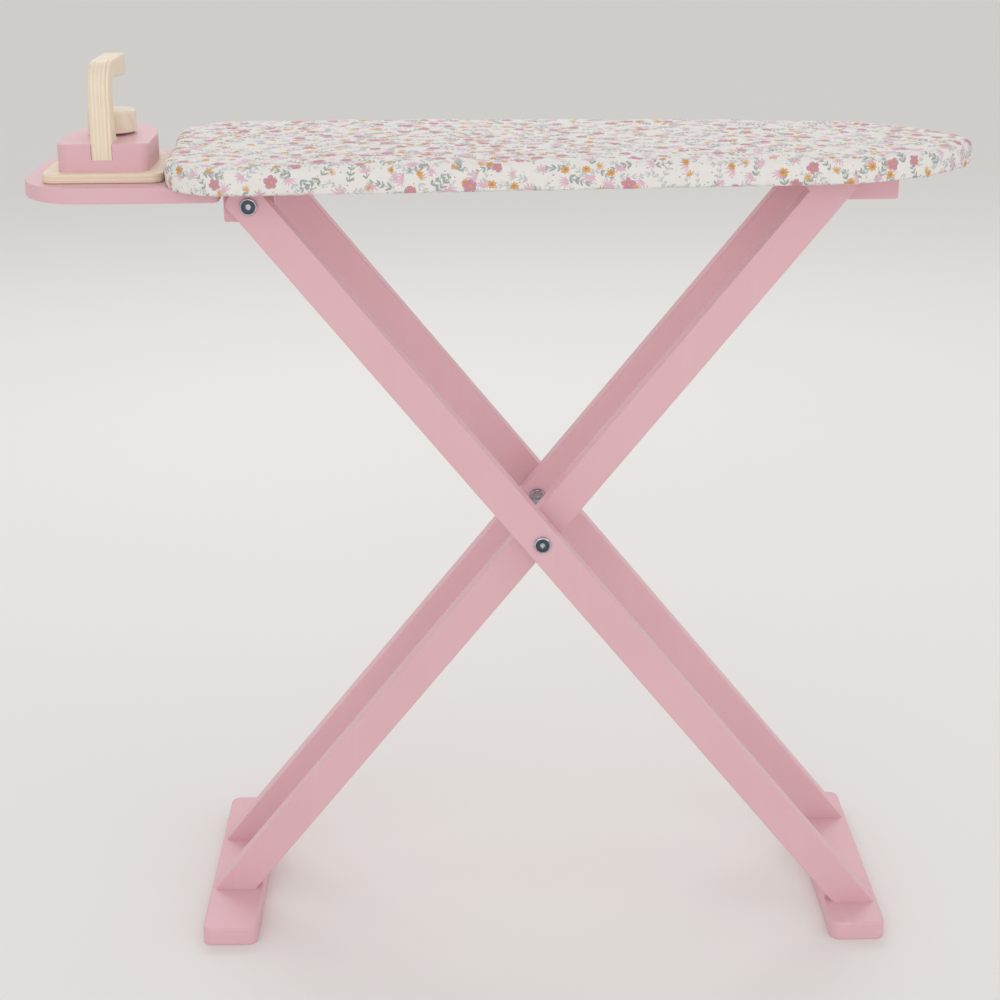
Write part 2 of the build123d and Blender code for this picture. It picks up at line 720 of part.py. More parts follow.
# Every piece under its node's name. A list is a group of like fasteners.
pieces = {
    "board_panel": board_panel(),
    "foam_pad": foam_pad(),
    "fabric_cover": fabric_cover(),
    "hem_elastic": hem_elastic(),
    "iron_rest_plate": iron_rest_plate(),
    "rest_plate_screws": screws_at(plate_screw_places, upwards, plate_underside + screw_head_sink,
                                   plate_screw_length),
    "bracket_screws": screws_at(bracket_screw_places, downwards, panel_screw_z, bracket_screw_length),
    "hook_screws": screws_at(hook_screw_places, downwards, panel_screw_z, hook_screw_length),
    "outer_foot_bar": foot_bar(outer_foot_x, foot_screw_places(outer_leg_end_x, outer_leg_y, 1)),
    "outer_foot_screws": screws_at(foot_screw_places(outer_leg_end_x, outer_leg_y, 1), upwards,
                                   screw_head_sink, foot_screw_length),
    "inner_foot_bar": foot_bar(inner_foot_x, foot_screw_places(inner_leg_end_x, inner_leg_y, -1)),
    "inner_foot_screws": screws_at(foot_screw_places(inner_leg_end_x, inner_leg_y, -1), upwards,
                                   screw_head_sink, foot_screw_length),
    "top_rail": top_rail(),
    "top_rail_screws": screws_at(rail_screw_places, downwards, rail_screw_z, rail_screw_length),
    "iron_sole": iron_sole(),
    "iron_body": iron_body(),
    "iron_handle": iron_handle(),
    "sole_screws": screws_at(sole_screw_places, upwards, sole_underside + screw_head_sink, sole_screw_length),
    "handle_screws": screws_at(handle_screw_places, upwards, handle_screw_z, handle_screw_length),
    "iron_knob": iron_knob(),
    "knob_screw": knob_screw(),
    "knob_washer": knob_washer(),
}
for side in (1, -1):
    name = side_name(side)
    pieces["heel_bracket_" + name] = heel_bracket(side)
    pieces["catch_block_" + name] = catch_block(side)
    pieces["catch_arm_" + name] = catch_arm(side)
    pieces["outer_leg_" + name] = outer_leg(side)
    pieces["inner_leg_" + name] = inner_leg(side)
    bolt, nut, washer = heel_pivot(side)
    pieces["heel_bolt_" + name] = bolt
    pieces["heel_cap_nut_" + name] = nut
    pieces["heel_washer_" + name] = washer
    bolt, nut, spacer = cross_pivot(side)
    pieces["cross_bolt_" + name] = bolt
    pieces["cross_cap_nut_" + name] = nut
    pieces["cross_spacer_" + name] = spacer

os.makedirs("parts", exist_ok=True)
for name, piece in pieces.items():
    shape = Compound(piece) if isinstance(piece, list) else piece
    export_step(shape, "parts/" + name + ".step")

print("heel pivot", round(pivot_x, 2), round(pivot_z, 2))
print("crossing", round(cross_x, 2), cross_height)
print("feet", round(outer_foot_x, 2), round(inner_foot_x, 2))
print("rail", round(rail_x, 2), "knob", round(iron_x, 2), round(knob_y, 2))
print("cover top", round(cover_top, 2), "handle top", round(body_top + handle_height, 2))
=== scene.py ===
import math
import bpy
import numpy as np
from mathutils import Matrix, Vector, noise


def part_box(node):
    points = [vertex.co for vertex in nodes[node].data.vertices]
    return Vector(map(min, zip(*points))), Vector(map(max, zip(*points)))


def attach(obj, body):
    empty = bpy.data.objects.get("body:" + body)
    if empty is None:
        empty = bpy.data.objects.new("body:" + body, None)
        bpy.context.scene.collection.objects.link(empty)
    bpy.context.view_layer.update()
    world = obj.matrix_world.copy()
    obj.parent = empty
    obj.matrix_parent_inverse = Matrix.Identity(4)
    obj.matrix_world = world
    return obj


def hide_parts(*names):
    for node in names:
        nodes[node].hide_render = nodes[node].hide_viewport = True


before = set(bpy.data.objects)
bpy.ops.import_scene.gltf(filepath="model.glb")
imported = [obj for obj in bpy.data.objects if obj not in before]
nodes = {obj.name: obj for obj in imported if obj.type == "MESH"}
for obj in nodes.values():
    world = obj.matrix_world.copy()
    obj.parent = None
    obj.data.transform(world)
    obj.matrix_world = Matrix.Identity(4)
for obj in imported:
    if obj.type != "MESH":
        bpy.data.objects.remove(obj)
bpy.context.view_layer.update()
print("frame loaded")


# Camera, solved from the photograph. Lengths are metres unless a note says millimetres.

photoView = {
    "place": (-0.025987, -1.496561, 0.886570),
    "turn": -0.135,  # degrees to the right
    "tilt": 16.618,  # degrees down
    "roll": -0.619,
    "focal": 1.947436,  # in picture widths
    "centre": (0.466488, 0.385420),  # where the lens axis meets the picture
}


def addCamera():
    turn, tilt, roll = (math.radians(photoView[k]) for k in ("turn", "tilt", "roll"))
    level = Vector((math.sin(turn), math.cos(turn), 0))
    side = Vector((math.cos(turn), -math.sin(turn), 0))
    ahead = math.cos(tilt) * level - math.sin(tilt) * Vector((0, 0, 1))
    up = math.sin(tilt) * level + math.cos(tilt) * Vector((0, 0, 1))
    right = math.cos(roll) * side + math.sin(roll) * up
    top = math.cos(roll) * up - math.sin(roll) * side
    cameraData = bpy.data.cameras.new("photoCamera")
    cameraData.sensor_fit = "HORIZONTAL"
    cameraData.lens = photoView["focal"] * cameraData.sensor_width
    cameraData.shift_x = 0.5 - photoView["centre"][0]
    cameraData.shift_y = photoView["centre"][1] - 0.5
    cameraData.clip_end = 200
    camera = bpy.data.objects.new("photoCamera", cameraData)
    turned = Matrix((right, top, -ahead)).transposed().to_4x4()
    camera.matrix_world = Matrix.Translation(photoView["place"]) @ turned
    bpy.context.scene.collection.objects.link(camera)
    bpy.context.scene.camera = camera


addCamera()
print("camera placed")


# Small helpers for node trees

def colour(red, green, blue):
    # From 0-255 screen values to the linear values that shaders use
    def linear(value):
        value = value / 255
        return value / 12.92 if value <= 0.04045 else ((value + 0.055) / 1.055) ** 2.4
    return (linear(red), linear(green), linear(blue), 1)


def wire(tree, value, socket):
    if isinstance(value, bpy.types.NodeSocket):
        tree.links.new(value, socket)
    elif value is not None:
        socket.default_value = value


def calc(tree, operation, first, second=None, third=None):
    node = tree.nodes.new("ShaderNodeMath")
    node.operation = operation
    for socket, value in zip(node.inputs, (first, second, third)):
        wire(tree, value, socket)
    return node.outputs[0]


def vectorCalc(tree, operation, first, second=None, scale=None):
    node = tree.nodes.new("ShaderNodeVectorMath")
    node.operation = operation
    wire(tree, first, node.inputs[0])
    wire(tree, second, node.inputs[1])
    if scale is not None:
        wire(tree, scale, node.inputs["Scale"])
    return node.outputs["Value" if operation in ("LENGTH", "DOT_PRODUCT") else "Vector"]


def ramp(tree, value, fromLow, fromHigh, toLow=0.0, toHigh=1.0, smooth=True):
    node = tree.nodes.new("ShaderNodeMapRange")
    node.interpolation_type = "SMOOTHSTEP" if smooth else "LINEAR"
    for name, item in (("Value", value), ("From Min", fromLow), ("From Max", fromHigh),
                       ("To Min", toLow), ("To Max", toHigh)):
        wire(tree, item, node.inputs[name])
    return node.outputs["Result"]


def blendColour(tree, share, first, second):
    node = tree.nodes.new("ShaderNodeMix")
    node.data_type = "RGBA"
    wire(tree, share, node.inputs[0])
    wire(tree, first, node.inputs[6])
    wire(tree, second, node.inputs[7])
    return node.outputs[2]


def noiseAt(tree, vector, scale, detail=3, rough=0.55):
    node = tree.nodes.new("ShaderNodeTexNoise")
    wire(tree, vector, node.inputs["Vector"])
    node.inputs["Scale"].default_value = scale
    node.inputs["Detail"].default_value = detail
    node.inputs["Roughness"].default_value = rough
    return node.outputs["Fac"]


def splitVector(tree, vector):
    node = tree.nodes.new("ShaderNodeSeparateXYZ")
    wire(tree, vector, node.inputs[0])
    return node.outputs[0], node.outputs[1], node.outputs[2]


def joinVector(tree, x, y, z=0.0):
    node = tree.nodes.new("ShaderNodeCombineXYZ")
    for socket, value in zip(node.inputs, (x, y, z)):
        wire(tree, value, socket)
    return node.outputs[0]


def newGroup(name, inputs, outputs):
    group = bpy.data.node_groups.new(name, "ShaderNodeTree")
    kinds = {"F": "NodeSocketFloat", "C": "NodeSocketColor", "V": "NodeSocketVector"}
    for label, kind, value in inputs:
        socket = group.interface.new_socket(name=label, in_out="INPUT", socket_type=kinds[kind])
        if value is not None:
            socket.default_value = value
    for label, kind in outputs:
        group.interface.new_socket(name=label, in_out="OUTPUT", socket_type=kinds[kind])
    return group, group.nodes.new("NodeGroupInput").outputs, group.nodes.new("NodeGroupOutput").inputs


def useGroup(tree, group, **values):
    node = tree.nodes.new("ShaderNodeGroup")
    node.node_tree = group
    for name, value in values.items():
        wire(tree, value, node.inputs[name])
    return node.outputs


def newMaterial(name, roughness=0.5, metallic=0.0, **plain):
    material = bpy.data.materials.new(name)
    material.use_nodes = True
    tree = material.node_tree
    shader = tree.nodes["Principled BSDF"]
    shader.inputs["Roughness"].default_value = roughness
    shader.inputs["Metallic"].default_value = metallic
    for label, value in plain.items():
        shader.inputs[label.replace("_", " ")].default_value = value
    place = tree.nodes.new("ShaderNodeTexCoord").outputs["Object"]
    return material, tree, shader, place


def addBump(tree, shader, height, distance, strength=1.0):
    node = tree.nodes.new("ShaderNodeBump")
    node.inputs["Strength"].default_value = strength
    node.inputs["Distance"].default_value = distance
    wire(tree, height, node.inputs["Height"])
    wire(tree, node.outputs["Normal"], shader.inputs["Normal"])


# Shared effects

def makeGrainGroup():
    # Wood fibres that run along one direction. Direction is the stretch of the pattern.
    group, given, out = newGroup(
        "woodFibres",
        [("Place", "V", None), ("Stretch", "V", (1, 1, 1)), ("Fine", "F", 700.0)],
        [("Streaks", "F"), ("Figure", "F")],
    )
    stretched = vectorCalc(group, "MULTIPLY", given["Place"], given["Stretch"])
    fine = group.nodes.new("ShaderNodeTexNoise")
    wire(group, stretched, fine.inputs["Vector"])
    wire(group, given["Fine"], fine.inputs["Scale"])
    fine.inputs["Detail"].default_value = 4
    wire(group, fine.outputs["Fac"], out["Streaks"])
    wire(group, noiseAt(group, stretched, 90, 3, 0.5), out["Figure"])
    return group


def makePaintGroup():
    # Sprayed paint: soft mottling, faint fibres that telegraph through, small specks
    group, given, out = newGroup(
        "sprayedPaint",
        [("Place", "V", None), ("Colour", "C", (1, 1, 1, 1)), ("Pale", "C", (1, 1, 1, 1)),
         ("Deep", "C", (1, 1, 1, 1)), ("Stretch", "V", (1, 1, 1))],
        [("Colour", "C"), ("Roughness", "F"), ("Height", "F")],
    )
    grain = useGroup(group, fibreGroup, Place=given["Place"], Stretch=given["Stretch"], Fine=420.0)
    cloud = noiseAt(group, given["Place"], 9, 3)
    tone = blendColour(group, ramp(group, cloud, 0.35, 0.7, 0.0, 0.55), given["Colour"], given["Deep"])
    tone = blendColour(group, ramp(group, grain["Figure"], 0.5, 0.85, 0.0, 0.35), tone, given["Pale"])
    wire(group, tone, out["Colour"])
    peel = noiseAt(group, given["Place"], 900, 2)
    wire(group, ramp(group, peel, 0.3, 0.7, 0.33, 0.44), out["Roughness"])
    height = calc(group, "MULTIPLY_ADD", grain["Streaks"], 0.6, calc(group, "MULTIPLY", peel, 0.5))
    wire(group, height, out["Height"])
    return group


def makeArrisHighlightGroup():
    # Painted highlight on the arrises: where a rounded arris turns, the bevelled normal leaves the true
    # one there
    group, given, out = newGroup(
        "paintedArrisHighlight", [("Place", "V", None), ("Width", "F", 0.001)], [("Edge", "F")])
    rounded = group.nodes.new("ShaderNodeBevel")
    rounded.samples = 6
    wire(group, given["Width"], rounded.inputs["Radius"])
    true = group.nodes.new("ShaderNodeNewGeometry").outputs["True Normal"]
    facing = vectorCalc(group, "DOT_PRODUCT", rounded.outputs[0], true)
    patchy = ramp(group, noiseAt(group, given["Place"], 140, 3), 0.3, 0.65, 0.35, 1.0)
    wire(group, calc(group, "MULTIPLY", ramp(group, facing, 0.80, 0.97, 0.75, 0.0), patchy), out["Edge"])
    return group


fibreGroup = makeGrainGroup()
paintGroup = makePaintGroup()
arrisHighlightGroup = makeArrisHighlightGroup()

paintFinish = {
    "colour": (226, 182, 190),
    "pale": (231, 191, 198),
    "deep": (221, 175, 184),
    "arrisHighlight": (232, 212, 209),  # painted highlight on the arrises, paler where they catch the light
    "bump": 0.00005,
}


def paintedWood(name, stretch, highlightShare=1.0):
    material, tree, shader, place = newMaterial(name)
    paint = useGroup(tree, paintGroup, Place=place, Colour=colour(*paintFinish["colour"]),
                     Pale=colour(*paintFinish["pale"]), Deep=colour(*paintFinish["deep"]),
                     Stretch=stretch)
    tone = paint["Colour"]
    # painted highlight: the arrises are blended towards a paler colour where they catch the light
    if highlightShare > 0:
        arrisHighlight = useGroup(tree, arrisHighlightGroup, Place=place, Width=0.0005)
        share = calc(tree, "MULTIPLY", arrisHighlight["Edge"], highlightShare)
        tone = blendColour(tree, share, tone, colour(*paintFinish["arrisHighlight"]))
    wire(tree, tone, shader.inputs["Base Color"])
    wire(tree, paint["Roughness"], shader.inputs["Roughness"])
    addBump(tree, shader, paint["Height"], paintFinish["bump"])
    return material


plyFinish = {
    "light": (243, 229, 207),
    "dark": (222, 200, 168),
    "glue": (190, 160, 124),
    "bump": 0.00005,
}


def layeredPly(name, axis, start, thickness, layers, along):
    # Veneers stacked along one axis. Every other one shows its end grain on the edges.
    material, tree, shader, place = newMaterial(name, roughness=0.5)
    parts = splitVector(tree, place)
    level = calc(tree, "MULTIPLY", calc(tree, "SUBTRACT", parts[axis], start), layers / thickness)
    wobble = calc(tree, "MULTIPLY", calc(tree, "SUBTRACT", noiseAt(tree, place, 60, 2), 0.5), 0.3)
    level = calc(tree, "ADD", level, wobble)
    turn = calc(tree, "PINGPONG", level, 1.0)
    band = ramp(tree, turn, 0.45, 0.55)
    glue = ramp(tree, calc(tree, "ABSOLUTE", calc(tree, "SUBTRACT", turn, 0.5)), 0.0, 0.07, 0.5, 0.0)
    fibre = useGroup(tree, fibreGroup, Place=place, Stretch=along, Fine=500.0)
    light, dark, line = (colour(*plyFinish[k]) for k in ("light", "dark", "glue"))
    uneven = ramp(tree, noiseAt(tree, joinVector(tree, level, 0.37, 0.11), 0.9, 1), 0.3, 0.7, 0.2, 0.8)
    tone = blendColour(tree, calc(tree, "MULTIPLY", band, uneven), light, dark)
    streak = ramp(tree, fibre["Streaks"], 0.45, 0.8, 0.0, 0.35)
    tone = blendColour(tree, streak, tone, dark)
    tone = blendColour(tree, ramp(tree, fibre["Figure"], 0.5, 0.8, 0.0, 0.3), tone, light)
    tone = blendColour(tree, glue, tone, line)
    wire(tree, tone, shader.inputs["Base Color"])
    wire(tree, ramp(tree, fibre["Streaks"], 0.3, 0.8, 0.42, 0.6), shader.inputs["Roughness"])
    addBump(tree, shader, calc(tree, "SUBTRACT", fibre["Streaks"], band), plyFinish["bump"])
    return material


def turnedWood(name, centre):
    # A turned knob: long grain across it, and faint tool rings about its axis
    material, tree, shader, place = newMaterial(name, roughness=0.5)
    local = vectorCalc(tree, "SUBTRACT", place, centre)
    x, y, _ = splitVector(tree, local)
    bend = calc(tree, "MULTIPLY_ADD", noiseAt(tree, local, 45, 2), 0.02, y)
    rings = calc(tree, "SINE", calc(tree, "MULTIPLY", bend, 700))
    fibre = useGroup(tree, fibreGroup, Place=local, Stretch=(0.08, 1.0, 1.0), Fine=600.0)
    light, dark = colour(237, 225, 205), colour(222, 203, 175)
    tone = blendColour(tree, ramp(tree, rings, -0.6, 1.0, 0.0, 0.35), light, dark)
    tone = blendColour(tree, ramp(tree, fibre["Streaks"], 0.5, 0.85, 0.0, 0.4), tone, dark)
    wire(tree, tone, shader.inputs["Base Color"])
    reach = calc(tree, "SQRT", calc(tree, "ADD", calc(tree, "MULTIPLY", x, x),
                                    calc(tree, "MULTIPLY", y, y)))
    tool = calc(tree, "SINE", calc(tree, "MULTIPLY", reach, 14000))
    addBump(tree, shader, calc(tree, "MULTIPLY_ADD", tool, 0.25, fibre["Streaks"]), 0.00005)
    return material


def shade(tone, share):
    return colour(*[value * share for value in tone])


def addScratches(tree, shader, place):
    drawn = vectorCalc(tree, "MULTIPLY", place, (1.0, 1.0, 9.0))
    addBump(tree, shader, noiseAt(tree, drawn, 1400, 2), 0.00001)


def brightSteel(name, tone, roughness):
    material, tree, shader, place = newMaterial(name, metallic=1.0)
    patch = noiseAt(tree, place, 260, 3)
    base = blendColour(tree, ramp(tree, patch, 0.35, 0.7), colour(*tone), shade(tone, 0.86))
    wire(tree, base, shader.inputs["Base Color"])
    wire(tree, ramp(tree, patch, 0.3, 0.75, roughness, roughness + 0.12), shader.inputs["Roughness"])
    addScratches(tree, shader, place)
    return material


def boltSteel(name, heads, axis, radius):
    # A polished bolt with a painted reflection: a dark ring is painted between the rim and the floor of
    # the socket, for the dark surroundings mirrored in the dome
    material, tree, shader, place = newMaterial(name, metallic=1.0)
    patch = noiseAt(tree, place, 260, 3)
    dark = None
    for head in heads:
        gap = vectorCalc(tree, "MULTIPLY", vectorCalc(tree, "SUBTRACT", place, head), axis)
        share = calc(tree, "DIVIDE", vectorCalc(tree, "LENGTH", gap), radius)
        reflectionRing = calc(tree, "MULTIPLY", ramp(tree, share, 0.24, 0.36),
                    ramp(tree, share, 0.76, 0.88, 1.0, 0.0))
        dark = reflectionRing if dark is None else calc(tree, "MAXIMUM", dark, reflectionRing)
    bright = blendColour(tree, ramp(tree, patch, 0.35, 0.7), colour(206, 208, 214), colour(176, 178, 186))
    # painted reflection: the dark ring colour stands in for dark surroundings mirrored in the polished
    # dome
    wire(tree, blendColour(tree, calc(tree, "MULTIPLY", dark, 0.9), bright, colour(52, 58, 74)),
         shader.inputs["Base Color"])
    wire(tree, ramp(tree, patch, 0.3, 0.75, 0.12, 0.24), shader.inputs["Roughness"])
    addScratches(tree, shader, place)
    return material


def plainPlastic(name, tone):
    material, tree, shader, place = newMaterial(name)
    speck = noiseAt(tree, place, 500, 2)
    base = blendColour(tree, ramp(tree, speck, 0.3, 0.7), colour(*tone), shade(tone, 0.95))
    wire(tree, base, shader.inputs["Base Color"])
    wire(tree, ramp(tree, speck, 0.3, 0.7, 0.45, 0.6), shader.inputs["Roughness"])
    addBump(tree, shader, speck, 0.00003)
    return material


# Printed cotton

printColours = {
    "cloth": (238, 235, 231),
    "rose": (205, 146, 164),
    "roseLine": (176, 108, 130),
    "amber": (222, 166, 98),
    "amberLine": (196, 130, 66),
    "leaf": (158, 166, 162),
    "leafPale": (198, 202, 200),
    "blush": (226, 186, 203),
}


def makePlotGroup():
    # One square plot of a planted pattern: where a point lies in its plot, turned and scattered
    group, given, out = newGroup(
        "printPlot",
        [("Place", "V", None), ("Plot", "F", 20.0), ("Shift", "V", (0, 0, 0)), ("Turn", "F", 0.0),
         ("Scatter", "F", 3.0)],
        [("X", "F"), ("Y", "F"), ("Pick", "F"), ("Size", "F")],
    )
    turned = group.nodes.new("ShaderNodeVectorRotate")
    turned.rotation_type = "Z_AXIS"
    wire(group, given["Place"], turned.inputs["Vector"])
    wire(group, given["Turn"], turned.inputs["Angle"])
    spot = vectorCalc(group, "ADD", turned.outputs[0], given["Shift"])
    share = vectorCalc(group, "SCALE", spot, scale=calc(group, "DIVIDE", 1.0, given["Plot"]))
    plot = vectorCalc(group, "FLOOR", share)
    inside = vectorCalc(group, "SUBTRACT", share, plot)
    hashNode = group.nodes.new("ShaderNodeTexWhiteNoise")
    hashNode.noise_dimensions = "3D"
    wire(group, plot, hashNode.inputs["Vector"])
    r, g, b = splitVector(group, hashNode.outputs["Color"])
    x, y, _ = splitVector(group, inside)
    localX = calc(group, "MULTIPLY", calc(group, "SUBTRACT", x, 0.5), given["Plot"])
    localY = calc(group, "MULTIPLY", calc(group, "SUBTRACT", y, 0.5), given["Plot"])
    spread = calc(group, "MULTIPLY", given["Scatter"], 2.0)
    localX = calc(group, "MULTIPLY_ADD", calc(group, "SUBTRACT", g, 0.5), spread, localX)
    localY = calc(group, "MULTIPLY_ADD", calc(group, "SUBTRACT", b, 0.5), spread, localY)
    angle = calc(group, "MULTIPLY", hashNode.outputs["Value"], 2 * math.pi)
    cosine, sine = calc(group, "COSINE", angle), calc(group, "SINE", angle)
    wire(group, calc(group, "ADD", calc(group, "MULTIPLY", localX, cosine),
                     calc(group, "MULTIPLY", localY, sine)), out["X"])
    wire(group, calc(group, "SUBTRACT", calc(group, "MULTIPLY", localY, cosine),
                     calc(group, "MULTIPLY", localX, sine)), out["Y"])
    wire(group, r, out["Pick"])
    wire(group, ramp(group, b, 0.0, 1.0, 0.85, 1.15, smooth=False), out["Size"])
    return group


def makeBlossomGroup():
    # Lobed flower: rounded lobes about a centre. Gives its body, its centre and its veins.
    group, given, out = newGroup(
        "printBlossom",
        [("X", "F", 0.0), ("Y", "F", 0.0), ("Radius", "F", 4.5), ("Lobes", "F", 5.0),
         ("Waist", "F", 0.6)],
        [("Body", "F"), ("Heart", "F"), ("Veins", "F")],
    )
    reach = vectorCalc(group, "LENGTH", joinVector(group, given["X"], given["Y"]))
    angle = calc(group, "ARCTAN2", given["Y"], given["X"])
    wave = calc(group, "ABSOLUTE", calc(group, "COSINE", calc(
        group, "MULTIPLY", angle, calc(group, "MULTIPLY", given["Lobes"], 0.5))))
    lobe = calc(group, "POWER", wave, 0.55)
    edge = calc(group, "MULTIPLY", given["Radius"], calc(
        group, "MULTIPLY_ADD", calc(group, "SUBTRACT", 1.0, given["Waist"]), lobe, given["Waist"]))
    wire(group, ramp(group, calc(group, "SUBTRACT", edge, reach), -0.12, 0.12), out["Body"])
    share = calc(group, "DIVIDE", reach, given["Radius"])
    wire(group, ramp(group, share, 0.20, 0.27, 1.0, 0.0), out["Heart"])
    ribs = ramp(group, calc(group, "ABSOLUTE", calc(group, "COSINE", calc(
        group, "MULTIPLY", angle, calc(group, "MULTIPLY", given["Lobes"], 1.5)))), 0.86, 1.0)
    wire(group, calc(group, "MULTIPLY", ribs, ramp(group, share, 0.3, 0.75, 1.0, 0.0)), out["Veins"])
    return group


def makeSprigGroup():
    # A stem with pairs of small leaves that get shorter towards its tip
    group, given, out = newGroup(
        "printSprig",
        [("X", "F", 0.0), ("Y", "F", 0.0), ("Length", "F", 10.0), ("Leaf", "F", 3.0)],
        [("Body", "F")],
    )
    bow = calc(group, "MULTIPLY", calc(group, "MULTIPLY", given["X"], given["X"]), 0.009)
    x, y = given["X"], calc(group, "SUBTRACT", given["Y"], bow)
    half = calc(group, "MULTIPLY", given["Length"], 0.5)
    along = calc(group, "ADD", x, half)
    step = 4.4
    cell = calc(group, "MULTIPLY", calc(group, "FRACT", calc(group, "DIVIDE", along, step)), step)
    side = calc(group, "ABSOLUTE", y)
    lean = math.radians(38)
    u = calc(group, "ADD", calc(group, "MULTIPLY", cell, math.cos(lean)),
             calc(group, "MULTIPLY", side, math.sin(lean)))
    v = calc(group, "SUBTRACT", calc(group, "MULTIPLY", side, math.cos(lean)),
             calc(group, "MULTIPLY", cell, math.sin(lean)))
    fade = ramp(group, along, 0.0, given["Length"], 1.0, 0.6, smooth=False)
    long = calc(group, "MULTIPLY", calc(group, "MULTIPLY", given["Leaf"], 0.5), fade)
    wide = calc(group, "MULTIPLY", long, 0.37)
    uShare = calc(group, "DIVIDE", calc(group, "SUBTRACT", u, calc(group, "ADD", long, 0.25)), long)
    vShare = calc(group, "DIVIDE", v, wide)
    leaf = calc(group, "ADD", calc(group, "MULTIPLY", uShare, uShare),
                calc(group, "MULTIPLY", vShare, vShare))
    leafMask = ramp(group, leaf, 0.8, 1.15, 1.0, 0.0)
    stem = ramp(group, side, 0.16, 0.32, 1.0, 0.0)
    body = calc(group, "MAXIMUM", leafMask, stem)
    inside = calc(group, "MULTIPLY", ramp(group, along, 0.0, 0.15), ramp(
        group, calc(group, "SUBTRACT", given["Length"], along), 0.0, 0.15))
    wire(group, calc(group, "MULTIPLY", body, inside), out["Body"])
    return group


def makeBudGroup():
    # A bud of three upright petals on a short stalk
    group, given, out = newGroup(
        "printBud",
        [("X", "F", 0.0), ("Y", "F", 0.0), ("Height", "F", 5.0)],
        [("Body", "F")],
    )
    side = calc(group, "ABSOLUTE", given["X"])
    low = calc(group, "ADD", given["Y"], calc(group, "MULTIPLY", given["Height"], 0.35))
    masks = []
    for lean, reach in ((0.0, 0.42), (0.48, 0.42), (0.95, 0.39), (1.4, 0.31)):
        u = calc(group, "ADD", calc(group, "MULTIPLY", low, math.cos(lean)),
                 calc(group, "MULTIPLY", side, math.sin(lean)))
        v = calc(group, "SUBTRACT", calc(group, "MULTIPLY", side, math.cos(lean)),
                 calc(group, "MULTIPLY", low, math.sin(lean)))
        long = calc(group, "MULTIPLY", given["Height"], reach)
        uShare = calc(group, "DIVIDE", calc(group, "SUBTRACT", u, long), long)
        vShare = calc(group, "DIVIDE", v, calc(group, "MULTIPLY", long, 0.19))
        masks.append(ramp(group, calc(group, "ADD", calc(group, "MULTIPLY", uShare, uShare),
                                      calc(group, "MULTIPLY", vShare, vShare)), 0.8, 1.15, 1.0, 0.0))
    stalk = calc(group, "MULTIPLY", ramp(group, side, 0.12, 0.26, 1.0, 0.0), calc(
        group, "MULTIPLY", ramp(group, low, 0.0, 0.2, 1.0, 0.0), ramp(group, low, -2.2, -2.0)))
    body = stalk
    for mask in masks:
        body = calc(group, "MAXIMUM", body, mask)
    wire(group, body, out["Body"])
    return group


plotGroup = makePlotGroup()
blossomGroup = makeBlossomGroup()
sprigGroup = makeSprigGroup()
budGroup = makeBudGroup()


def makeWeaveGroup():
    # Plain weave: threads over and under, with some uneven yarn
    group, given, out = newGroup(
        "plainWeave", [("Place", "V", None), ("Pitch", "F", 0.45)], [("Height", "F"), ("Slub", "F")])
    threads = calc(group, "DIVIDE", math.pi, given["Pitch"])
    share = vectorCalc(group, "SCALE", given["Place"], scale=threads)
    x, y, _ = splitVector(group, share)
    warp = calc(group, "ABSOLUTE", calc(group, "SINE", x))
    weft = calc(group, "ABSOLUTE", calc(group, "SINE", y))
    crossing = calc(group, "MULTIPLY", calc(group, "SINE", calc(group, "MULTIPLY", x, 0.5)),
                    calc(group, "SINE", calc(group, "MULTIPLY", y, 0.5)))
    over = calc(group, "GREATER_THAN", crossing, 0.0)
    height = group.nodes.new("ShaderNodeMix")
    height.data_type = "FLOAT"
    wire(group, over, height.inputs[0])
    wire(group, warp, height.inputs[2])
    wire(group, weft, height.inputs[3])
    wire(group, height.outputs[0], out["Height"])
    stretched = vectorCalc(group, "MULTIPLY", given["Place"], (0.05, 1.2, 1.0))
    wire(group, noiseAt(group, stretched, 1.6, 3), out["Slub"])
    return group


weaveGroup = makeWeaveGroup()


